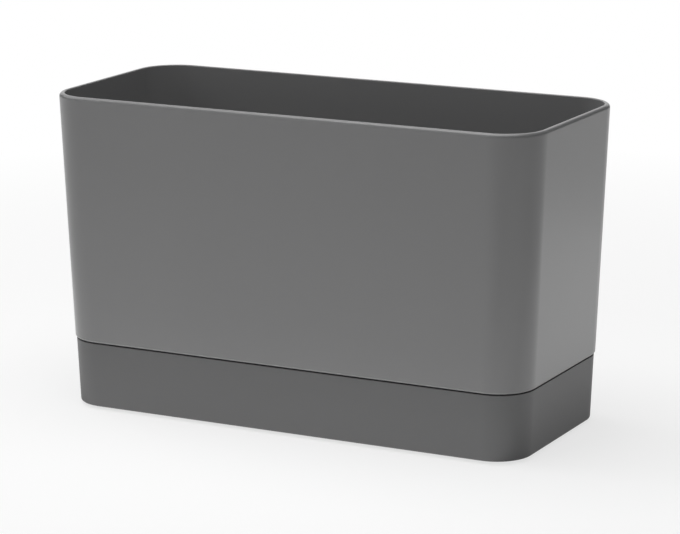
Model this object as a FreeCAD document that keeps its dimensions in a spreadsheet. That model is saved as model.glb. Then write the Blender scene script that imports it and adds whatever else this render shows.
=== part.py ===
# Kitchen sink caddy: an open holder that stands in a drip tray on four soft feet.
# The holder is a tapered bin with rounded corners and a slotted floor. A skirt under its floor drops into
# the drip tray and rests on ribs there, which leaves a thin shadow gap between the two mouldings, and the
# holder lifts straight off. Millimetres, +Z up, with the origin on the surface below the caddy's middle.

import FreeCAD, Part
import Sketcher
import math
import os

SIZES = {
    # Outer shape, shared by the holder and the tray, which tapers straight from the rim to the base
    "rim_length": 200.0,
    "rim_width": 86.4,
    "rim_corner_radius": 16.4,
    "base_length": 189.6,
    "base_width": 80.6,
    "base_corner_radius": 14.3,
    "rim_height": 121.2,
    # Holder walls and floor, and how far its rim is rounded over on the outside and on the inside
    "holder_wall": 2.1,
    "holder_floor": 2.2,
    "holder_edge_radius": 1.0,
    "holder_inner_radius": 3.0,
    "rim_outer_share": 0.7,
    "rim_inner_share": 0.2,
    # Skirt under the holder's floor
    "skirt_depth": 8.0,
    "skirt_wall": 1.6,
    "skirt_clearance": 0.3,
    # Drain floor: two rows of slots, with a raised rib between one column and the next
    "slot_width": 3.2,
    "slot_pitch": 12.5,
    "slot_bridge": 8.0,
    "slot_margin": 6.0,
    "drain_rib_width": 1.8,
    "drain_rib_height": 1.2,
    # Shadow gap between the tray's lip and the holder's lower edge
    "seam_gap": 0.3,
    # Drip tray
    "tray_height": 25.0,
    "tray_wall": 2.0,
    "tray_inset": 0.45,
    "tray_floor": 2.8,
    "tray_lip_radius": 0.3,
    "tray_edge_radius": 0.8,
    "tray_inner_radius": 3.0,
    "recess_depth": 0.5,
    "recess_margin": 5.0,
    # Ribs inside the tray that carry the skirt
    "rib_thickness": 1.8,
    "rib_lip": 1.6,
    "rib_margin": 20.0,
    # Soft feet, set in round sockets under the tray
    "foot_diameter": 12.0,
    "foot_clearance": 0.3,
    "foot_proud": 1.0,
    "foot_edge_radius": 0.4,
    "foot_inset": 17.0,
    "socket_depth": 0.8,
    # How far a cut runs past the face that it opens
    "overrun": 1.0,
}
RIBS_PER_SIDE = 3
MIDDLE_SHARE = 0.5
LEVEL_TOLERANCE = 1e-4

# Heights above the surface, as expressions of the sheet
TRAY_BOTTOM = "sizes.foot_proud"
TRAY_FLOOR_TOP = f"({TRAY_BOTTOM} + sizes.tray_floor)"
TRAY_TOP = f"({TRAY_BOTTOM} + sizes.tray_height)"
HOLDER_BOTTOM = f"({TRAY_TOP} + sizes.seam_gap)"
HOLDER_FLOOR_TOP = f"({HOLDER_BOTTOM} + sizes.holder_floor)"
SKIRT_BOTTOM = f"({HOLDER_BOTTOM} - sizes.skirt_depth)"
RIM_TOP = "sizes.rim_height"

# Distances in from the outer shape
TRAY_INSIDE = "(sizes.tray_inset + sizes.tray_wall)"
SKIRT_OUTSIDE = f"({TRAY_INSIDE} + sizes.skirt_clearance)"
SKIRT_INSIDE = f"({SKIRT_OUTSIDE} + sizes.skirt_wall)"
DRAIN_EDGE = "(sizes.holder_wall + sizes.holder_inner_radius + sizes.slot_margin)"

doc = FreeCAD.newDocument("sink_caddy")
sheet = doc.addObject("Spreadsheet::Sheet", "sizes")
for row, (alias, size) in enumerate(SIZES.items(), start=1):
    sheet.set(f"A{row}", str(size))
    sheet.setAlias(f"A{row}", alias)
doc.recompute()


def value(expression):
    """The number that an expression of the sheet gives."""
    return float(sheet.evalExpression(expression))


def outside(size, height):
    """The outer length, width or corner radius at a height, as an expression."""
    rise = f"(({height}) - {TRAY_BOTTOM}) / ({RIM_TOP} - {TRAY_BOTTOM})"
    return f"(sizes.base_{size} + (sizes.rim_{size} - sizes.base_{size}) * {rise})"


def new_body(label):
    """An empty body, labelled with the piece's name."""
    body = doc.addObject("PartDesign::Body", label)
    body.Label = label
    return body


def origin_feature(body, role):
    """A body's own origin plane or axis."""
    return next(feature for feature in body.Origin.OriginFeatures if feature.Role == role)


def level_sketch(body, name, height, turn=0, shift=None):
    """A level sketch at a height, which may be turned about Z by degrees and moved along X."""
    sketch = body.newObject("Sketcher::SketchObject", name)
    sketch.AttachmentSupport = (origin_feature(body, "XY_Plane"), "")
    sketch.MapMode = "FlatFace"
    turned = FreeCAD.Rotation(FreeCAD.Vector(0, 0, 1), turn)
    sketch.AttachmentOffset = FreeCAD.Placement(FreeCAD.Vector(), turned)
    sketch.setExpression("AttachmentOffset.Base.z", height)
    if shift:
        sketch.setExpression("AttachmentOffset.Base.x", shift)
    return sketch


def constrain(sketch, kind, *where):
    """Adds a geometric constraint to a sketch."""
    sketch.addConstraint(Sketcher.Constraint(kind, *where))


def dimension(sketch, name, kind, where, size):
    """Adds a named dimension to a sketch and binds it to an expression."""
    index = sketch.addConstraint(Sketcher.Constraint(kind, *where, value(size)))
    sketch.renameConstraint(index, name)
    sketch.setExpression(f"Constraints.{name}", size)


def add_line(sketch, start, end):
    """Draws a straight line between two points of a sketch."""
    return sketch.addGeometry(Part.LineSegment(FreeCAD.Vector(*start, 0), FreeCAD.Vector(*end, 0)))


def add_arc(sketch, centre, radius, start, end):
    """Draws an arc between two angles in degrees, anticlockwise."""
    circle = Part.Circle(FreeCAD.Vector(*centre, 0), FreeCAD.Vector(0, 0, 1), radius)
    return sketch.addGeometry(Part.ArcOfCircle(circle, math.radians(start), math.radians(end)))


def plan_sketch(body, name, height, inset):
    """The caddy's rounded plan at a height, moved in from the outer shape by an inset."""
    length = f"{outside('length', height)} - 2 * ({inset})"
    width = f"{outside('width', height)} - 2 * ({inset})"
    radius = f"{outside('corner_radius', height)} - ({inset})"
    corner = value(radius)
    end, side = value(length) / 2, value(width) / 2
    turn_x, turn_y = end - corner, side - corner
    sketch = level_sketch(body, name, height)
    arcs = [
        add_arc(sketch, (turn_x, turn_y), corner, 0, 90),
        add_arc(sketch, (-turn_x, turn_y), corner, 90, 180),
        add_arc(sketch, (-turn_x, -turn_y), corner, 180, 270),
        add_arc(sketch, (turn_x, -turn_y), corner, 270, 360),
    ]
    rear = add_line(sketch, (turn_x, side), (-turn_x, side))
    left = add_line(sketch, (-end, turn_y), (-end, -turn_y))
    front = add_line(sketch, (-turn_x, -side), (turn_x, -side))
    right = add_line(sketch, (end, -turn_y), (end, turn_y))
    for number, straight in enumerate((rear, left, front, right)):
        constrain(sketch, "Tangent", arcs[number], 2, straight, 1)
        constrain(sketch, "Tangent", straight, 2, arcs[(number + 1) % 4], 1)
        constrain(sketch, "Vertical" if straight in (left, right) else "Horizontal", straight)
    for other in arcs[1:]:
        constrain(sketch, "Equal", arcs[0], other)
    constrain(sketch, "Symmetric", arcs[0], 3, arcs[2], 3, -1, 1)
    dimension(sketch, "length", "DistanceX", (left, 1, right, 1), length)
    dimension(sketch, "width", "DistanceY", (front, 1, rear, 1), width)
    dimension(sketch, "corner", "Radius", (arcs[0],), radius)
    return sketch


def rib_sketch(body, name, height, turn, shift, reach, root, tip):
    """A rib's level section, between two distances in from a wall whose distance out is reach."""
    sketch = level_sketch(body, name, height, turn, shift)
    near, far = f"{reach} - ({tip})", f"{reach} - ({root})"
    half = value("sizes.rib_thickness") / 2
    corners = [(value(near), -half), (value(far), -half), (value(far), half), (value(near), half)]
    sides = [add_line(sketch, corner, corners[(number + 1) % 4]) for number, corner in enumerate(corners)]
    for number, side in enumerate(sides):
        constrain(sketch, "Coincident", side, 2, sides[(number + 1) % 4], 1)
    constrain(sketch, "Horizontal", sides[0])
    constrain(sketch, "Vertical", sides[1])
    constrain(sketch, "Horizontal", sides[2])
    constrain(sketch, "Symmetric", sides[0], 1, sides[3], 1, -1)
    dimension(sketch, "near", "DistanceX", (-1, 1, sides[0], 1), near)
    dimension(sketch, "far", "DistanceX", (-1, 1, sides[0], 2), far)
    dimension(sketch, "thickness", "DistanceY", (sides[0], 1, sides[3], 1), "sizes.rib_thickness")
    return sketch


def loft(body, kind, name, lower, upper):
    """A straight loft, Additive or Subtractive, made downwards so that its edges take fillets."""
    feature = body.newObject(f"PartDesign::{kind}Loft", name)
    feature.Profile = upper
    feature.Sections = [lower]
    feature.Ruled = True
    doc.recompute()
    return feature


def plan_loft(body, kind, name, bottom, top, inset):
    """A loft of the caddy's plan between two heights, at one inset from the outer shape."""
    lower = plan_sketch(body, f"{name}_lower", bottom, inset)
    upper = plan_sketch(body, f"{name}_upper", top, inset)
    return loft(body, kind, name, lower, upper)


def inset_of(point):
    """How far a point at the end of a straight side lies in from the outer shape at its height."""
    length, width = (value(outside(size, str(point.Z))) for size in ("length", "width"))
    return min(length / 2 - abs(point.X), width / 2 - abs(point.Y))


def round_edges(body, name, height, radius, inset=None):
    """A fillet on every edge of the body that lies level at a height, or on those at one inset there."""
    base = body.Tip
    level = value(height)
    edges = [
        f"Edge{number}"
        for number, edge in enumerate(base.Shape.Edges, start=1)
        if all(abs(corner.Z - level) < LEVEL_TOLERANCE for corner in edge.Vertexes)
        and (inset is None or abs(inset_of(edge.Vertexes[0]) - value(inset)) < LEVEL_TOLERANCE)
    ]
    feature = body.newObject("PartDesign::Fillet", name)
    feature.Base = (base, edges)
    feature.setExpression("Radius", radius)
    doc.recompute()
    return feature


def pocket(body, name, sketch, depth, upwards=False):
    """A cut from a level sketch, downwards unless told otherwise, which has to take material away."""
    before = body.Tip.Shape.Volume
    feature = body.newObject("PartDesign::Pocket", name)
    feature.Profile = sketch
    feature.Reversed = upwards
    feature.setExpression("Length", depth)
    doc.recompute()
    if feature.Shape.Volume >= before:
        raise RuntimeError(f"{name} cuts nothing")
    return feature


def row_along_x(body, name, originals, span, count):
    """Repeats features along X over a span, and makes the row the end of the body."""
    feature = body.newObject("PartDesign::LinearPattern", name)
    feature.Originals = originals
    feature.Direction = (origin_feature(body, "X_Axis"), [""])
    feature.setExpression("Length", span)
    feature.Occurrences = count
    body.Tip = feature
    doc.recompute()
    return feature


# Holder: outer block with its lower edge rounded
holder = new_body("holder")
plan_loft(holder, "Additive", "block", HOLDER_BOTTOM, RIM_TOP, "0")
round_edges(holder, "lower_edge", HOLDER_BOTTOM, "sizes.holder_edge_radius")

# Holder: skirt that drops into the tray, rooted halfway up the floor and hollow up to the floor's underside
skirt_root = f"({HOLDER_BOTTOM} + sizes.holder_floor * {MIDDLE_SHARE})"
skirt_mouth = f"({SKIRT_BOTTOM} - sizes.overrun)"
plan_loft(holder, "Additive", "skirt", SKIRT_BOTTOM, skirt_root, SKIRT_OUTSIDE)
plan_loft(holder, "Subtractive", "skirt_hollow", skirt_mouth, HOLDER_BOTTOM, SKIRT_INSIDE)

# Holder: rim rounded over on the outside, then the inside, with the floor's edge filleted and the mouth eased
rim_outer_radius = "sizes.holder_wall * sizes.rim_outer_share"
rim_inner_radius = "sizes.holder_wall * sizes.rim_inner_share"
holder_mouth = f"({RIM_TOP} + sizes.overrun)"
round_edges(holder, "rim_outer_round", RIM_TOP, rim_outer_radius)
plan_loft(holder, "Subtractive", "inside", HOLDER_FLOOR_TOP, holder_mouth, "sizes.holder_wall")
round_edges(holder, "floor_fillet", HOLDER_FLOOR_TOP, "sizes.holder_inner_radius")
round_edges(holder, "rim_inner_round", RIM_TOP, rim_inner_radius, "sizes.holder_wall")

# Holder: drain slots in two rows, as many columns as the floor has room for
drain_length = f"({outside('length', HOLDER_FLOOR_TOP)} - 2 * {DRAIN_EDGE} - sizes.slot_width)"
drain_width = f"({outside('width', HOLDER_FLOOR_TOP)} - 2 * {DRAIN_EDGE})"
slot_columns = 1 + int(value(f"{drain_length} / sizes.slot_pitch"))
slot_span = f"(sizes.slot_pitch * {slot_columns - 1})"
near_end = "(sizes.slot_bridge + sizes.slot_width) / 2"
far_end = f"({drain_width} - sizes.slot_width) / 2"


def slot_sketch(name, turn):
    """The first slot of a row, along Y from the bridge in the middle of the floor towards one long side."""
    sketch = level_sketch(holder, name, HOLDER_FLOOR_TOP, turn, f"-{slot_span} / 2")
    half, near, far = value("sizes.slot_width / 2"), value(near_end), value(far_end)
    far_arc = add_arc(sketch, (0, far), half, 0, 180)
    left = add_line(sketch, (-half, far), (-half, near))
    near_arc = add_arc(sketch, (0, near), half, 180, 360)
    right = add_line(sketch, (half, near), (half, far))
    for piece, following in ((far_arc, left), (left, near_arc), (near_arc, right), (right, far_arc)):
        constrain(sketch, "Tangent", piece, 2, following, 1)
    constrain(sketch, "Vertical", left)
    constrain(sketch, "Equal", far_arc, near_arc)
    constrain(sketch, "PointOnObject", far_arc, 3, -2)
    dimension(sketch, "round", "Radius", (far_arc,), "sizes.slot_width / 2")
    dimension(sketch, "near", "DistanceY", (-1, 1, near_arc, 3), near_end)
    dimension(sketch, "far", "DistanceY", (-1, 1, far_arc, 3), far_end)
    return sketch


first_slots = []
for side, turn in (("rear", 0), ("front", 180)):
    slot = slot_sketch(f"slot_{side}_outline", turn)
    first_slots.append(pocket(holder, f"slot_{side}", slot, "sizes.holder_floor + sizes.overrun"))
row_along_x(holder, "slot_rows", first_slots, slot_span, slot_columns)

# Holder: round-topped ribs across the floor, one between each column of slots and the next
ridge_foot = f"({HOLDER_FLOOR_TOP} - sizes.holder_floor * {MIDDLE_SHARE})"
ridge_turn = f"({HOLDER_FLOOR_TOP} + sizes.drain_rib_height - sizes.drain_rib_width / 2)"


def ridge_sketch(name):
    """The first rib's upright section, rooted halfway down the floor and round on top."""
    sketch = holder.newObject("Sketcher::SketchObject", name)
    sketch.AttachmentSupport = (origin_feature(holder, "XZ_Plane"), "")
    sketch.MapMode = "FlatFace"
    sketch.setExpression("AttachmentOffset.Base.x", f"(sizes.slot_pitch - {slot_span}) / 2")
    half, low, high = value("sizes.drain_rib_width / 2"), value(ridge_foot), value(ridge_turn)
    top = add_arc(sketch, (0, high), half, 0, 180)
    left = add_line(sketch, (-half, high), (-half, low))
    base = add_line(sketch, (-half, low), (half, low))
    right = add_line(sketch, (half, low), (half, high))
    constrain(sketch, "Tangent", top, 2, left, 1)
    constrain(sketch, "Coincident", left, 2, base, 1)
    constrain(sketch, "Coincident", base, 2, right, 1)
    constrain(sketch, "Tangent", right, 2, top, 1)
    constrain(sketch, "Vertical", left)
    constrain(sketch, "Vertical", right)
    constrain(sketch, "Horizontal", base)
    constrain(sketch, "PointOnObject", top, 3, -2)
    dimension(sketch, "round", "Radius", (top,), "sizes.drain_rib_width / 2")
    dimension(sketch, "foot", "DistanceY", (-1, 1, base, 1), ridge_foot)
    dimension(sketch, "turn", "DistanceY", (-1, 1, top, 3), ridge_turn)
    return sketch


first_ridge = holder.newObject("PartDesign::Pad", "first_ridge")
first_ridge.Profile = ridge_sketch("ridge")
first_ridge.Midplane = True
first_ridge.setExpression("Length", drain_width)
doc.recompute()
row_along_x(holder, "ridges", [first_ridge], f"{slot_span} - sizes.slot_pitch", slot_columns - 1)

# Drip tray: outer block, inside and rounded edges
drip_tray = new_body("drip_tray")
plan_loft(drip_tray, "Additive", "block", TRAY_BOTTOM, TRAY_TOP, "sizes.tray_inset")
round_edges(drip_tray, "lower_edge", TRAY_BOTTOM, "sizes.tray_edge_radius")
plan_loft(drip_tray, "Subtractive", "inside", TRAY_FLOOR_TOP, f"({TRAY_TOP} + sizes.overrun)", TRAY_INSIDE)
round_edges(drip_tray, "floor_fillet", TRAY_FLOOR_TOP, "sizes.tray_inner_radius")
round_edges(drip_tray, "lip", TRAY_TOP, "sizes.tray_lip_radius")

# Drip tray: ribs up its walls, whose tops carry the skirt, three on each long side and one on each end
rib_root = f"({TRAY_BOTTOM} + sizes.tray_floor * {MIDDLE_SHARE})"
rib_row = f"({outside('length', rib_root)} / 2 - {outside('corner_radius', rib_root)} - sizes.rib_margin)"


def tray_rib(name, size, turn, shift=None):
    """One rib on the wall that faces along a turn, rooted in the tray's wall and floor."""
    sections = []
    for end, height in (("lower", rib_root), ("upper", SKIRT_BOTTOM)):
        reach = f"{outside(size, height)} / 2"
        root = f"(sizes.tray_inset + sizes.tray_wall * {MIDDLE_SHARE})"
        tip = f"({SKIRT_INSIDE} + sizes.rib_lip)"
        sections.append(rib_sketch(drip_tray, f"{name}_{end}", height, turn, shift, reach, root, tip))
    return loft(drip_tray, "Additive", name, *sections)


front_rib = tray_rib("rib_front", "width", -90, f"-{rib_row}")
rear_rib = tray_rib("rib_rear", "width", 90, f"-{rib_row}")
row_along_x(drip_tray, "side_ribs", [front_rib, rear_rib], f"2 * {rib_row}", RIBS_PER_SIDE)
tray_rib("rib_right", "length", 0)
tray_rib("rib_left", "length", 180)

# Drip tray: shallow recess underneath, with a socket near each corner for a foot
recess = plan_sketch(drip_tray, "recess_plan", TRAY_BOTTOM, "sizes.tray_inset + sizes.recess_margin")
pocket(drip_tray, "recess", recess, "sizes.recess_depth", upwards=True)
foot_x = "(sizes.base_length / 2 - sizes.foot_inset)"
foot_y = "(sizes.base_width / 2 - sizes.foot_inset)"
foot_seat = "(sizes.recess_depth + sizes.socket_depth)"
socket_radius = "sizes.foot_diameter / 2 + sizes.foot_clearance"
sockets = level_sketch(drip_tray, "socket_circles", TRAY_BOTTOM)
for side_x, side_y in ((1, 1), (-1, 1), (-1, -1), (1, -1)):
    centre = FreeCAD.Vector(side_x * value(foot_x), side_y * value(foot_y), 0)
    sockets.addGeometry(Part.Circle(centre, FreeCAD.Vector(0, 0, 1), value(socket_radius)))
for circle in (1, 2, 3):
    constrain(sockets, "Equal", 0, circle)
constrain(sockets, "Symmetric", 0, 3, 1, 3, -2)
constrain(sockets, "Symmetric", 1, 3, 2, 3, -1)
constrain(sockets, "Symmetric", 0, 3, 3, 3, -1)
dimension(sockets, "radius", "Radius", (0,), socket_radius)
dimension(sockets, "along", "DistanceX", (-1, 1, 0, 3), foot_x)
dimension(sockets, "across", "DistanceY", (-1, 1, 0, 3), foot_y)
pocket(drip_tray, "sockets", sockets, foot_seat, upwards=True)


def new_foot(label, side_x, side_y):
    """A round soft foot that stands in its socket, with the edge that meets the surface rounded."""
    foot = new_body(label)
    radius = "sizes.foot_diameter / 2"
    disc = level_sketch(foot, f"{label}_circle", "0")
    disc.addGeometry(Part.Circle(FreeCAD.Vector(), FreeCAD.Vector(0, 0, 1), value(radius)))
    constrain(disc, "Coincident", 0, 3, -1, 1)
    dimension(disc, "radius", "Radius", (0,), radius)
    pad = foot.newObject("PartDesign::Pad", f"{label}_disc")
    pad.Profile = disc
    pad.setExpression("Length", f"{TRAY_BOTTOM} + {foot_seat}")
    doc.recompute()
    round_edges(foot, f"{label}_edge", "0", "sizes.foot_edge_radius")
    foot.setExpression("Placement.Base.x", f"{side_x} * {foot_x}")
    foot.setExpression("Placement.Base.y", f"{side_y} * {foot_y}")
    return foot


# Feet: one near each corner
feet = [
    new_foot("foot_front_left", -1, -1),
    new_foot("foot_front_right", 1, -1),
    new_foot("foot_rear_left", -1, 1),
    new_foot("foot_rear_right", 1, 1),
]

# Checks, then one file for each piece
doc.recompute()
for item in doc.Objects:
    if {"Invalid", "Error"} & set(item.State):
        raise RuntimeError(f"{item.Label} failed: {item.State}")
    if item.isDerivedFrom("Sketcher::SketchObject") and not item.FullyConstrained:
        raise RuntimeError(f"{item.Label} is not fully constrained")
pieces = [holder, drip_tray, *feet]
for piece in pieces:
    if piece.Shape.isNull() or not piece.Shape.isValid() or len(piece.Shape.Solids) != 1:
        raise RuntimeError(f"{piece.Label} is not one sound solid")
os.makedirs("parts", exist_ok=True)
for piece in pieces:
    piece.Shape.exportStep(f"parts/{piece.Label}.step")
    print(f"{piece.Label}: {piece.Shape.Volume:.0f} mm3, {len(piece.Shape.Faces)} faces")
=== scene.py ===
import bpy
import math
from mathutils import Matrix, Vector


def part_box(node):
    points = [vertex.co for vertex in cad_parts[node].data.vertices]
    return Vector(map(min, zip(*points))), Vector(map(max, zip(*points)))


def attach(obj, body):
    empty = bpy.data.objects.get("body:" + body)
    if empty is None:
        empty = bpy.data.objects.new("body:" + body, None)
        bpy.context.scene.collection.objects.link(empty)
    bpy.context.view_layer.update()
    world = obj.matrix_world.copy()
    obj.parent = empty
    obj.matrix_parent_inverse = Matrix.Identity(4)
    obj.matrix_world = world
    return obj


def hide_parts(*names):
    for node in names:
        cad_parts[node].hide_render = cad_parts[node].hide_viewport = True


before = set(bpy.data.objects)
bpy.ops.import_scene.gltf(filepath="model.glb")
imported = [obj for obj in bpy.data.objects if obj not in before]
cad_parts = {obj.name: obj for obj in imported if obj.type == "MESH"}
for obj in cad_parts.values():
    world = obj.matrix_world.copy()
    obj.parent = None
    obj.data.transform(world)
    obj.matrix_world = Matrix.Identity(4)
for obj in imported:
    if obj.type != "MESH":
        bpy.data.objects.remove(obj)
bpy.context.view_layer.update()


# Drip tray: the lower moulding, a shallow tray that catches what drains out of the holder above it.
# Injection moulded in dark grey plastic with a fine matte finish. Its walls taper with the holder's, ribs
# up their inside carry the holder's skirt, and sockets underneath take the feet.
TRAY_LOW, TRAY_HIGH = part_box("drip_tray")
HOLDER_LOW, HOLDER_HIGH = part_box("holder")
FOOT_LOW, FOOT_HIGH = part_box("foot_front_left")
BASE_PLAN = (0.1896, 0.0806, 0.0143)  # outer length, width and corner radius at the tray's underside
RIM_PLAN = (0.2000, 0.0864, 0.0164)  # the same at the holder's rim
CORNER_STEPS = 16
SMALL_STEPS = 8
ROUND_SHARE = 0.49999  # just under half, so that the corners of a round outline don't meet
MERGE_DISTANCE = 1e-6
SMOOTH_ANGLE = math.radians(40)

TRAY_INSET = 0.00045
TRAY_WALL = 0.0020
TRAY_INSIDE = TRAY_INSET + TRAY_WALL
TRAY_FLOOR_THICKNESS = 0.0028
TRAY_FLOOR_TOP = TRAY_LOW.z + TRAY_FLOOR_THICKNESS
TRAY_INNER_RADIUS = 0.0030
TRAY_LIP_RADIUS = 0.0003
TRAY_EDGE_RADIUS = 0.0008
RECESS_BORDER = 0.0050
RECESS_INSET = TRAY_INSET + RECESS_BORDER
RECESS_DEPTH = 0.0005
RECESS_ROUND = 0.0002
SKIRT_CLEARANCE = 0.0003
SKIRT_WALL = 0.0016
SKIRT_OUTSIDE = TRAY_INSIDE + SKIRT_CLEARANCE
SKIRT_INSIDE = SKIRT_OUTSIDE + SKIRT_WALL
RIBS_PER_SIDE = 3
RIB_SINK = 0.0014
RIB_FOOT = TRAY_FLOOR_TOP - RIB_SINK
RIB_ROOT = TRAY_INSET + TRAY_WALL / 2
RIB_OVERHANG = 0.0016
RIB_TIP = SKIRT_INSIDE + RIB_OVERHANG
RIB_THICKNESS = 0.0018
RIB_ROUND = 0.0005
RIB_CORNER_SHARE = 0.3
RIB_MARGIN = 0.0200
FOOT_DIAMETER = FOOT_HIGH.x - FOOT_LOW.x
SOCKET_CLEARANCE = 0.0003
TRAY_DARK = (0.0915, 0.0915, 0.0925)
TRAY_LIGHT = (0.0985, 0.0985, 0.0995)
TRAY_ROUGHNESS = (0.46, 0.58)
TRAY_GRAIN_SCALE = 2600
TRAY_GRAIN_DEPTH = 0.00003


def plan(inset, height):
    """The caddy's plan at a height, moved in from its outside: place, length, width and corner radius."""
    rise = (height - TRAY_LOW.z) / (HOLDER_HIGH.z - TRAY_LOW.z)
    length, width, radius = (low + (high - low) * rise for low, high in zip(BASE_PLAN, RIM_PLAN))
    return Vector((0, 0, height)), length - 2 * inset, width - 2 * inset, radius - inset


def disc(diameter):
    """The size of a round outline: width, length, radius and steps."""
    return diameter, diameter, diameter * ROUND_SHARE, CORNER_STEPS


def arc(inset, height, radius, start, end, steps=6):
    """Points of a round stretch of a section, as (inset, height): 0 degrees is inwards and 90 is up."""
    turns = [math.radians(start + (end - start) * step / steps) for step in range(steps + 1)]
    return [(inset + radius * math.cos(turn), height + radius * math.sin(turn)) for turn in turns]


def add_outline(place, length, width, radius, steps=CORNER_STEPS, filled=False):
    """Adds a level rounded rectangle to the mesh in edit mode, as a loose loop or as a face."""
    bpy.ops.mesh.primitive_plane_add(size=1, location=place)
    bpy.ops.transform.resize(value=(length, width, 1), center_override=place)
    bpy.ops.mesh.bevel(offset=radius, segments=steps, affect="VERTICES")
    if not filled:
        bpy.ops.mesh.delete(type="ONLY_FACE")


def moulding(name, outlines):
    """A closed skin over a pile of outlines: a band from each to the next, and a face at both ends."""
    bpy.ops.object.select_all(action="DESELECT")
    bpy.ops.mesh.primitive_plane_add()
    piece = bpy.context.object
    piece.name = name
    bpy.ops.object.mode_set(mode="EDIT")
    bpy.ops.mesh.delete(type="VERT")
    for lower, upper in zip(outlines, outlines[1:]):
        add_outline(*lower)
        add_outline(*upper)
        bpy.ops.mesh.select_all(action="SELECT")
        bpy.ops.mesh.bridge_edge_loops()
        bpy.ops.mesh.select_all(action="SELECT")
        bpy.ops.mesh.hide()
    add_outline(*outlines[0], filled=True)
    add_outline(*outlines[-1], filled=True)
    bpy.ops.mesh.reveal()
    bpy.ops.mesh.select_all(action="SELECT")
    bpy.ops.mesh.remove_doubles(threshold=MERGE_DISTANCE)
    bpy.ops.mesh.normals_make_consistent(inside=False)
    bpy.ops.object.mode_set(mode="OBJECT")
    return piece


def repeat(piece, step, count):
    """Repeats a piece in a row, each copy a step on from the last."""
    row = piece.modifiers.new("row", "ARRAY")
    row.count = count
    row.use_relative_offset = False
    row.use_constant_offset = True
    row.constant_offset_displace = step
    bpy.context.view_layer.objects.active = piece
    bpy.ops.object.modifier_apply(modifier=row.name)
    return piece


def combine(piece, tool, operation):
    """Cuts a tool out of a piece, or joins it on, and removes the tool."""
    change = piece.modifiers.new("change", "BOOLEAN")
    change.operation = operation
    change.solver = "EXACT"
    change.object = tool
    bpy.context.view_layer.objects.active = piece
    bpy.ops.object.modifier_apply(modifier=change.name)
    bpy.data.objects.remove(tool)


def smooth(piece):
    """Shades a piece smooth, with flat walls left flat and edges over the angle left sharp."""
    bpy.ops.object.select_all(action="DESELECT")
    piece.select_set(True)
    bpy.context.view_layer.objects.active = piece
    bpy.ops.object.shade_smooth_by_angle(angle=SMOOTH_ANGLE)
    weighting = piece.modifiers.new("weighting", "WEIGHTED_NORMAL")
    weighting.keep_sharp = True
    bpy.ops.object.modifier_apply(modifier=weighting.name)


def tray_rib(facing, along):
    """A rib up the inside of the tray wall that faces a direction, with its corners and top rounded."""
    outlines = []
    for inset, height in [(0, RIB_FOOT), *arc(RIB_ROUND, HOLDER_LOW.z - RIB_ROUND, RIB_ROUND, 180, 90)]:
        _, length, width, _ = plan(0, height)
        reach = length / 2 if facing.x else width / 2
        tip, root = reach - RIB_TIP + inset, reach - RIB_ROOT
        place = facing * (tip + root) / 2 + Vector((along, 0, height))
        thickness = RIB_THICKNESS - 2 * inset
        size = (root - tip, thickness) if facing.x else (thickness, root - tip)
        outlines.append((place, *size, thickness * RIB_CORNER_SHARE, SMALL_STEPS))
    return moulding("tray_rib", outlines)


def add_node(tree, kind, values=None, **settings):
    """Adds a node to a tree, with its input values and its settings."""
    node = tree.nodes.new(kind)
    for name, setting in settings.items():
        setattr(node, name, setting)
    for socket, value in (values or {}).items():
        node.inputs[socket].default_value = value
    return node


def moulded_grain():
    """The skin that a spark-eroded mould leaves: grain for bump and gloss, and a slow drift of tone."""
    group = bpy.data.node_groups.new("moulded_grain", "ShaderNodeTree")
    group.interface.new_socket("Grain Scale", in_out="INPUT", socket_type="NodeSocketFloat")
    for output in ("Grain", "Tone"):
        group.interface.new_socket(output, in_out="OUTPUT", socket_type="NodeSocketFloat")
    start = add_node(group, "NodeGroupInput")
    end = add_node(group, "NodeGroupOutput")
    place = add_node(group, "ShaderNodeTexCoord")
    grain = add_node(group, "ShaderNodeTexNoise", {"Detail": 3.0, "Roughness": 0.6})
    drift = add_node(group, "ShaderNodeTexNoise", {"Scale": 16.0, "Detail": 2.0, "Roughness": 0.45})
    link = group.links.new
    link(place.outputs["Object"], grain.inputs["Vector"])
    link(start.outputs["Grain Scale"], grain.inputs["Scale"])
    link(place.outputs["Object"], drift.inputs["Vector"])
    link(grain.outputs["Fac"], end.inputs["Grain"])
    link(drift.outputs["Fac"], end.inputs["Tone"])


def moulded_finish(name, dark, light, roughness, grain_scale, grain_depth):
    """A moulded surface: its colour drifts between two tones, its roughness between two values."""
    material = bpy.data.materials.new(name)
    material.use_nodes = True
    tree = material.node_tree
    shader = tree.nodes["Principled BSDF"]
    skin = add_node(tree, "ShaderNodeGroup", node_tree=bpy.data.node_groups["moulded_grain"])
    skin.inputs["Grain Scale"].default_value = grain_scale
    colour = add_node(tree, "ShaderNodeMix", {"A": (*dark, 1), "B": (*light, 1)}, data_type="RGBA")
    gloss = add_node(tree, "ShaderNodeMapRange", {"To Min": roughness[0], "To Max": roughness[1]})
    bump = add_node(tree, "ShaderNodeBump", {"Strength": 1.0, "Distance": grain_depth})
    link = tree.links.new
    link(skin.outputs["Tone"], colour.inputs["Factor"])
    link(skin.outputs["Grain"], gloss.inputs["Value"])
    link(skin.outputs["Grain"], bump.inputs["Height"])
    link(colour.outputs["Result"], shader.inputs["Base Color"])
    link(gloss.outputs["Result"], shader.inputs["Roughness"])
    link(bump.outputs["Normal"], shader.inputs["Normal"])
    return material


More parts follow.
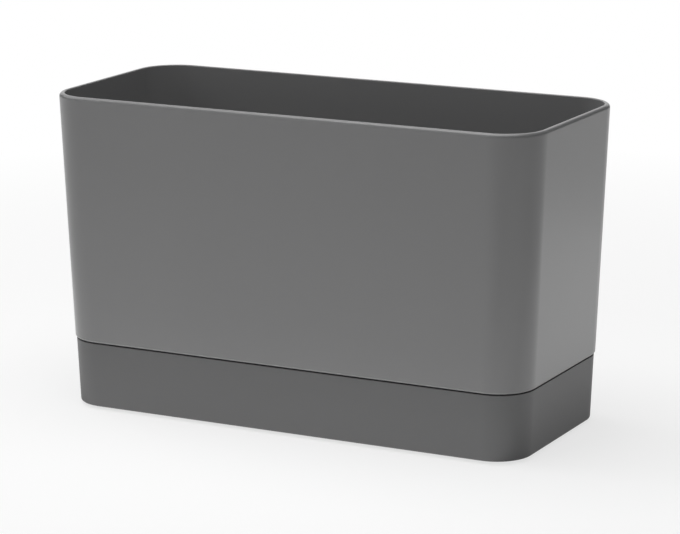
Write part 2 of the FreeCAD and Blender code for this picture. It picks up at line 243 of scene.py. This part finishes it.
tray_section = [
    *arc(TRAY_INSIDE + TRAY_INNER_RADIUS, TRAY_FLOOR_TOP + TRAY_INNER_RADIUS, TRAY_INNER_RADIUS, 270, 180),
    *arc(TRAY_INSIDE - TRAY_LIP_RADIUS, TRAY_HIGH.z - TRAY_LIP_RADIUS, TRAY_LIP_RADIUS, 0, 90),
    *arc(TRAY_INSET + TRAY_LIP_RADIUS, TRAY_HIGH.z - TRAY_LIP_RADIUS, TRAY_LIP_RADIUS, 90, 180),
    *arc(TRAY_INSET + TRAY_EDGE_RADIUS, TRAY_LOW.z + TRAY_EDGE_RADIUS, TRAY_EDGE_RADIUS, 180, 270),
    *arc(RECESS_INSET - RECESS_ROUND, TRAY_LOW.z + RECESS_ROUND, RECESS_ROUND, 270, 360, steps=3),
    (RECESS_INSET, TRAY_LOW.z + RECESS_DEPTH),
]
tray = moulding("drip_tray_moulding", [plan(*point) for point in tray_section])
_, foot_length, _, foot_corner = plan(0, RIB_FOOT)
rib_row = foot_length / 2 - foot_corner - RIB_MARGIN
for facing in (Vector((0, -1, 0)), Vector((0, 1, 0))):
    ribs = repeat(tray_rib(facing, -rib_row), (2 * rib_row / (RIBS_PER_SIDE - 1), 0, 0), RIBS_PER_SIDE)
    combine(tray, ribs, "UNION")
for facing in (Vector((-1, 0, 0)), Vector((1, 0, 0))):
    combine(tray, tray_rib(facing, 0), "UNION")

foot_places = {
    node: (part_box(node)[0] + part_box(node)[1]) / 2
    for node in ("foot_front_left", "foot_front_right", "foot_rear_left", "foot_rear_right")
}
for place in foot_places.values():
    socket_size = FOOT_DIAMETER + 2 * SOCKET_CLEARANCE
    socket_ends = [Vector((place.x, place.y, height)) for height in (FOOT_LOW.z, FOOT_HIGH.z)]
    socket = moulding("foot_socket", [(end, *disc(socket_size)) for end in socket_ends])
    combine(tray, socket, "DIFFERENCE")
smooth(tray)
moulded_grain()
tray_finish = moulded_finish(
    "tray_matte_grey", TRAY_DARK, TRAY_LIGHT, TRAY_ROUGHNESS, TRAY_GRAIN_SCALE, TRAY_GRAIN_DEPTH
)
tray.data.materials.append(tray_finish)
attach(tray, "base")
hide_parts("drip_tray")


# Feet: four round pads of soft dark rubber, pressed into the sockets near the corners of the tray.
# Each is moulded with a rounded lower edge and two rings round its face that grip a wet worktop.
FOOT_ROUND = 0.0004
RING_DEPTH = 0.00025
RING_WIDTH = 0.0005
RING_RADII = (0.0042, 0.0024)
FOOT_CENTRE_RADIUS = 0.0008
RUBBER_DARK = (0.026, 0.026, 0.026)
RUBBER_LIGHT = (0.036, 0.036, 0.036)
RUBBER_ROUGHNESS = (0.70, 0.85)
RUBBER_GRAIN_SCALE = 4000
RUBBER_GRAIN_DEPTH = 0.00004

foot_radius = FOOT_DIAMETER / 2
foot_section = [
    (0, FOOT_HIGH.z),
    *arc(FOOT_ROUND, FOOT_LOW.z + FOOT_ROUND, FOOT_ROUND, 180, 270),
]
for ring_radius in RING_RADII:
    middle = foot_radius - ring_radius
    foot_section += [
        (middle - RING_WIDTH, FOOT_LOW.z),
        (middle - RING_WIDTH / 2, FOOT_LOW.z + RING_DEPTH),
        (middle + RING_WIDTH / 2, FOOT_LOW.z + RING_DEPTH),
        (middle + RING_WIDTH, FOOT_LOW.z),
    ]
foot_section.append((foot_radius - FOOT_CENTRE_RADIUS, FOOT_LOW.z))
first_node, first_place = next(iter(foot_places.items()))
first_foot = moulding(
    f"{first_node}_pad",
    [
        (Vector((first_place.x, first_place.y, height)), *disc(FOOT_DIAMETER - 2 * inset))
        for inset, height in foot_section
    ],
)
smooth(first_foot)
rubber = moulded_finish(
    "foot_rubber", RUBBER_DARK, RUBBER_LIGHT, RUBBER_ROUGHNESS, RUBBER_GRAIN_SCALE, RUBBER_GRAIN_DEPTH
)
first_foot.data.materials.append(rubber)
for node, place in foot_places.items():
    if node == first_node:
        foot = first_foot
    else:
        bpy.ops.object.select_all(action="DESELECT")
        first_foot.select_set(True)
        bpy.context.view_layer.objects.active = first_foot
        bpy.ops.object.duplicate()
        foot = bpy.context.object
        foot.name = f"{node}_pad"
        bpy.ops.transform.translate(value=place - first_place)
        bpy.ops.object.transform_apply()
    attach(foot, "base")
    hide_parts(node)


# Holder: the upper moulding, an open bin that brushes and sponges stand in, set down into the tray.
# Injection moulded in mid grey plastic with a satin finish. Its rim is rounded over on the outside, its
# floor has two rows of drain slots with ridges between them, and a skirt below drops inside the tray.
SEAM_GAP = 0.0003
HOLDER_BOTTOM = TRAY_HIGH.z + SEAM_GAP
HOLDER_FLOOR_THICKNESS = 0.0022
HOLDER_FLOOR_TOP = HOLDER_BOTTOM + HOLDER_FLOOR_THICKNESS
HOLDER_WALL = 0.0021
HOLDER_INNER_RADIUS = 0.0030
HOLDER_EDGE_RADIUS = 0.0010
RIM_OUTER_ROUND = 0.00147
RIM_INNER_ROUND = 0.00042
SKIRT_ROUND = 0.0004
SLOT_WIDTH = 0.0032
SLOT_PITCH = 0.0125
SLOT_COLUMNS = 14
SLOT_BRIDGE = 0.0080
SLOT_MARGIN = 0.0060
SLOT_ROUND = 0.0003
SLOT_OVERRUN = 0.0010
RIDGE_WIDTH = 0.0018
RIDGE_HEIGHT = 0.0012
RIDGE_FILLET = 0.0003
RIDGE_TOP_TURN = 102  # degrees, past 90 so that a narrow flat is left along the top
HOLDER_DARK = (0.151, 0.151, 0.152)
HOLDER_LIGHT = (0.161, 0.161, 0.162)
HOLDER_ROUGHNESS = (0.26, 0.36)
HOLDER_GRAIN_SCALE = 3000
HOLDER_GRAIN_DEPTH = 0.00001


def slot_outline(width, length):
    """The size of a slot with round ends: width, length, radius and steps."""
    return width, length, width * ROUND_SHARE, SMALL_STEPS


fillet_centre = (HOLDER_WALL + HOLDER_INNER_RADIUS, HOLDER_FLOOR_TOP + HOLDER_INNER_RADIUS)
holder_section = [
    *arc(*fillet_centre, HOLDER_INNER_RADIUS, 270, 180),
    *arc(HOLDER_WALL - RIM_INNER_ROUND, HOLDER_HIGH.z - RIM_INNER_ROUND, RIM_INNER_ROUND, 0, 90),
    *arc(RIM_OUTER_ROUND, HOLDER_HIGH.z - RIM_OUTER_ROUND, RIM_OUTER_ROUND, 90, 180, steps=12),
    *arc(HOLDER_EDGE_RADIUS, HOLDER_BOTTOM + HOLDER_EDGE_RADIUS, HOLDER_EDGE_RADIUS, 180, 270, steps=8),
    (SKIRT_OUTSIDE, HOLDER_BOTTOM),
    *arc(SKIRT_OUTSIDE + SKIRT_ROUND, HOLDER_LOW.z + SKIRT_ROUND, SKIRT_ROUND, 180, 270, steps=4),
    *arc(SKIRT_INSIDE - SKIRT_ROUND, HOLDER_LOW.z + SKIRT_ROUND, SKIRT_ROUND, 270, 360, steps=4),
    (SKIRT_INSIDE, HOLDER_BOTTOM),
]
holder = moulding("holder_moulding", [plan(*point) for point in holder_section])

_, _, floor_width, _ = plan(HOLDER_WALL + HOLDER_INNER_RADIUS + SLOT_MARGIN, HOLDER_FLOOR_TOP)
slot_length = (floor_width - SLOT_BRIDGE) / 2
slot_span = SLOT_PITCH * (SLOT_COLUMNS - 1)
slot_section = [
    (0, HOLDER_BOTTOM - SLOT_OVERRUN),
    *arc(-SLOT_ROUND, HOLDER_FLOOR_TOP - SLOT_ROUND, SLOT_ROUND, 0, 90, steps=4),
    (-SLOT_ROUND, HOLDER_FLOOR_TOP + SLOT_OVERRUN),
]
for side in (-1, 1):
    slot = moulding(
        "drain_slot",
        [
            (
                Vector((-slot_span / 2, side * (SLOT_BRIDGE + slot_length) / 2, height)),
                *slot_outline(SLOT_WIDTH - 2 * inset, slot_length - 2 * inset),
            )
            for inset, height in slot_section
        ],
    )
    combine(holder, repeat(slot, (SLOT_PITCH, 0, 0), SLOT_COLUMNS), "DIFFERENCE")

ridge_turn = HOLDER_FLOOR_TOP + RIDGE_HEIGHT - RIDGE_WIDTH / 2
ridge_section = [
    (-RIDGE_FILLET, (HOLDER_FLOOR_TOP + HOLDER_BOTTOM) / 2),
    *arc(-RIDGE_FILLET, HOLDER_FLOOR_TOP + RIDGE_FILLET, RIDGE_FILLET, 270, 360, steps=3),
    *arc(RIDGE_WIDTH / 2, ridge_turn, RIDGE_WIDTH / 2, 180, RIDGE_TOP_TURN)[1:],
]
ridge = moulding(
    "drain_ridge",
    [
        (
            Vector(((SLOT_PITCH - slot_span) / 2, 0, height)),
            *slot_outline(RIDGE_WIDTH - 2 * inset, floor_width - 2 * inset),
        )
        for inset, height in ridge_section
    ],
)
combine(holder, repeat(ridge, (SLOT_PITCH, 0, 0), SLOT_COLUMNS - 1), "UNION")
smooth(holder)
holder_finish = moulded_finish(
    "holder_satin_grey", HOLDER_DARK, HOLDER_LIGHT, HOLDER_ROUGHNESS, HOLDER_GRAIN_SCALE, HOLDER_GRAIN_DEPTH
)
holder.data.materials.append(holder_finish)
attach(holder, "bin")
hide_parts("holder")


# Camera: a long lens that looks slightly down at the caddy, from the right of its front.
# Its turn, height and distance were fitted to the photograph's outline, rim and seam.
LOOK_AT = Vector((0.003432, 0.0, 0.056349))
CAMERA_AZIMUTH = math.radians(27.450)
CAMERA_ELEVATION = math.radians(13.051)
CAMERA_ROLL = math.radians(-0.232)
CAMERA_DISTANCE = 1.1278
CAMERA_SENSOR = 36.0
CAMERA_LENS = 157.98

eye = bpy.data.cameras.new("photo_camera")
eye.sensor_fit = "HORIZONTAL"
eye.sensor_width = CAMERA_SENSOR
eye.lens = CAMERA_LENS
camera = bpy.data.objects.new("photo_camera", eye)
bpy.context.scene.collection.objects.link(camera)
back = Vector((
    math.sin(CAMERA_AZIMUTH) * math.cos(CAMERA_ELEVATION),
    -math.cos(CAMERA_AZIMUTH) * math.cos(CAMERA_ELEVATION),
    math.sin(CAMERA_ELEVATION),
))
stand = Matrix.Translation(LOOK_AT + back * CAMERA_DISTANCE)
aim = (-back).to_track_quat("-Z", "Y").to_matrix().to_4x4()
camera.matrix_world = stand @ aim @ Matrix.Rotation(CAMERA_ROLL, 4, "Z")
bpy.context.scene.camera = camera
bpy.context.scene.view_settings.view_transform = "Standard"


# Studio: white paper under the caddy, which keeps its shadow, and a sheet of it hung upright behind. To
# the camera and in reflections it fades to plain white away from the caddy, and from its other side it can
# be looked through. Soft lamps hang above and round it, and weak ones lie on it to add to its own bounce.
PAPER_SIZE = 8.0
PAPER_DROP = 0.00005
PAPER_WHITE = (0.9, 0.9, 0.9, 1)
PLAIN_WHITE = (1, 1, 1, 1)
WHITE_NEAR = 0.7  # share of plain white beside the caddy
FADE_FROM, FADE_TO = 0.2, 0.55  # how far from the middle it turns plain white
BACKDROP_SIZE = 2.6
BACKDROP_AWAY = 2.5
BACKDROP_TILT = math.radians(90)

bpy.ops.object.select_all(action="DESELECT")
bpy.ops.mesh.primitive_plane_add(size=PAPER_SIZE, location=(0, 0, -PAPER_DROP))
floor = bpy.context.object
floor.name = "studio_floor"
backdrop_place = Vector((-back.x, -back.y, 0)).normalized() * BACKDROP_AWAY
backdrop_place.z = BACKDROP_SIZE / 2
bpy.ops.object.mode_set(mode="EDIT")
bpy.ops.mesh.primitive_plane_add(
    size=BACKDROP_SIZE, location=backdrop_place, rotation=(BACKDROP_TILT, 0, CAMERA_AZIMUTH)
)
bpy.ops.object.mode_set(mode="OBJECT")
bpy.ops.object.transform_apply()

paper = bpy.data.materials.new("white_paper")
paper.use_nodes = True
tree = paper.node_tree
tree.nodes.remove(tree.nodes["Principled BSDF"])
lit = add_node(tree, "ShaderNodeBsdfDiffuse", {"Color": PAPER_WHITE})
white = add_node(tree, "ShaderNodeEmission", {"Color": PLAIN_WHITE, "Strength": 1.0})
ray = add_node(tree, "ShaderNodeLightPath")
mirrored = add_node(tree, "ShaderNodeMath", operation="MAXIMUM")
seen = add_node(tree, "ShaderNodeMath", operation="MAXIMUM")
place = add_node(tree, "ShaderNodeTexCoord")
away = add_node(tree, "ShaderNodeVectorMath", operation="LENGTH")
fade = add_node(
    tree, "ShaderNodeMapRange", {"From Min": FADE_FROM, "From Max": FADE_TO, "To Min": WHITE_NEAR}
)
share = add_node(tree, "ShaderNodeMath", operation="MULTIPLY")
side_seen = add_node(tree, "ShaderNodeNewGeometry")
clear = add_node(tree, "ShaderNodeBsdfTransparent")
from_front = add_node(tree, "ShaderNodeMixShader")
from_behind = add_node(tree, "ShaderNodeMixShader")
link = tree.links.new
link(ray.outputs["Is Glossy Ray"], mirrored.inputs[0])
link(ray.outputs["Is Transmission Ray"], mirrored.inputs[1])
link(ray.outputs["Is Camera Ray"], seen.inputs[0])
link(mirrored.outputs["Value"], seen.inputs[1])
link(place.outputs["Object"], away.inputs[0])
link(away.outputs["Value"], fade.inputs["Value"])
link(seen.outputs["Value"], share.inputs[0])
link(fade.outputs["Result"], share.inputs[1])
link(share.outputs["Value"], from_front.inputs["Fac"])
link(lit.outputs["BSDF"], from_front.inputs[1])
link(white.outputs["Emission"], from_front.inputs[2])
link(side_seen.outputs["Backfacing"], from_behind.inputs["Fac"])
link(from_front.outputs["Shader"], from_behind.inputs[1])
link(clear.outputs["BSDF"], from_behind.inputs[2])
link(from_behind.outputs["Shader"], tree.nodes["Material Output"].inputs["Surface"])
floor.data.materials.append(paper)

ROOM_GREY = (0.12, 0.12, 0.12, 1)
room = bpy.data.worlds.new("dim_room")
bpy.context.scene.world = room
room.use_nodes = True
room.node_tree.nodes["Background"].inputs["Color"].default_value = ROOM_GREY


def softbox(name, place, length, width, power, aim):
    """A soft lamp that shines from its place along an aim."""
    lamp = bpy.data.lights.new(name, "AREA")
    lamp.shape = "RECTANGLE"
    lamp.size = length
    lamp.size_y = width
    lamp.energy = power
    stand = bpy.data.objects.new(name, lamp)
    bpy.context.scene.collection.objects.link(stand)
    stand.location = place
    stand.rotation_mode = "QUATERNION"
    stand.rotation_quaternion = aim.to_track_quat("-Z", "Y")


UP = Vector((0, 0, 1))
GLOW_RAISE = 0.0005
# The lamps round the caddy, each with its place, its length and width in metres, and its power in watts.
for name, place, length, width, power in (
    ("lamp_close", (-0.015, -0.03, 0.5), 0.4, 0.4, 1.46),
    ("lamp_overhead", (0.0, -0.01, 1.2), 1.4, 1.4, 2.8),
    ("lamp_left", (-1.06, 0.0, 1.11), 1.2, 1.2, 6.9),
    ("lamp_front_left", (-0.92, -0.53, 1.11), 1.2, 1.2, 0.8),
    ("lamp_front", (-0.68, -1.23, 0.61), 0.6, 1.1, 1.95),
    ("lamp_front_right", (0.53, -0.92, 1.11), 1.2, 1.2, 0.95),
):
    softbox(name, place, length, width, power, LOOK_AT - Vector(place))
# The weak lamps that lie on the paper. None overlaps another, or one of them would not be mirrored.
for name, x, y, length, width, power in (
    ("glow_front", 0.0, -0.08, 0.24, 0.08, 0.041),
    ("glow_front_far", -0.08, -0.27, 0.40, 0.20, 0.098),
    ("glow_front_right", 0.26, -0.13, 0.26, 0.16, 0.05),
    ("glow_right", 0.203, 0.14, 0.164, 0.36, 0.095),
    ("glow_left", -0.19, -0.01, 0.14, 0.3, 0.0396),
    ("glow_rear", -0.015, 0.08, 0.21, 0.08, 0.019),
):
    softbox(name, (x, y, GLOW_RAISE), length, width, power, UP)
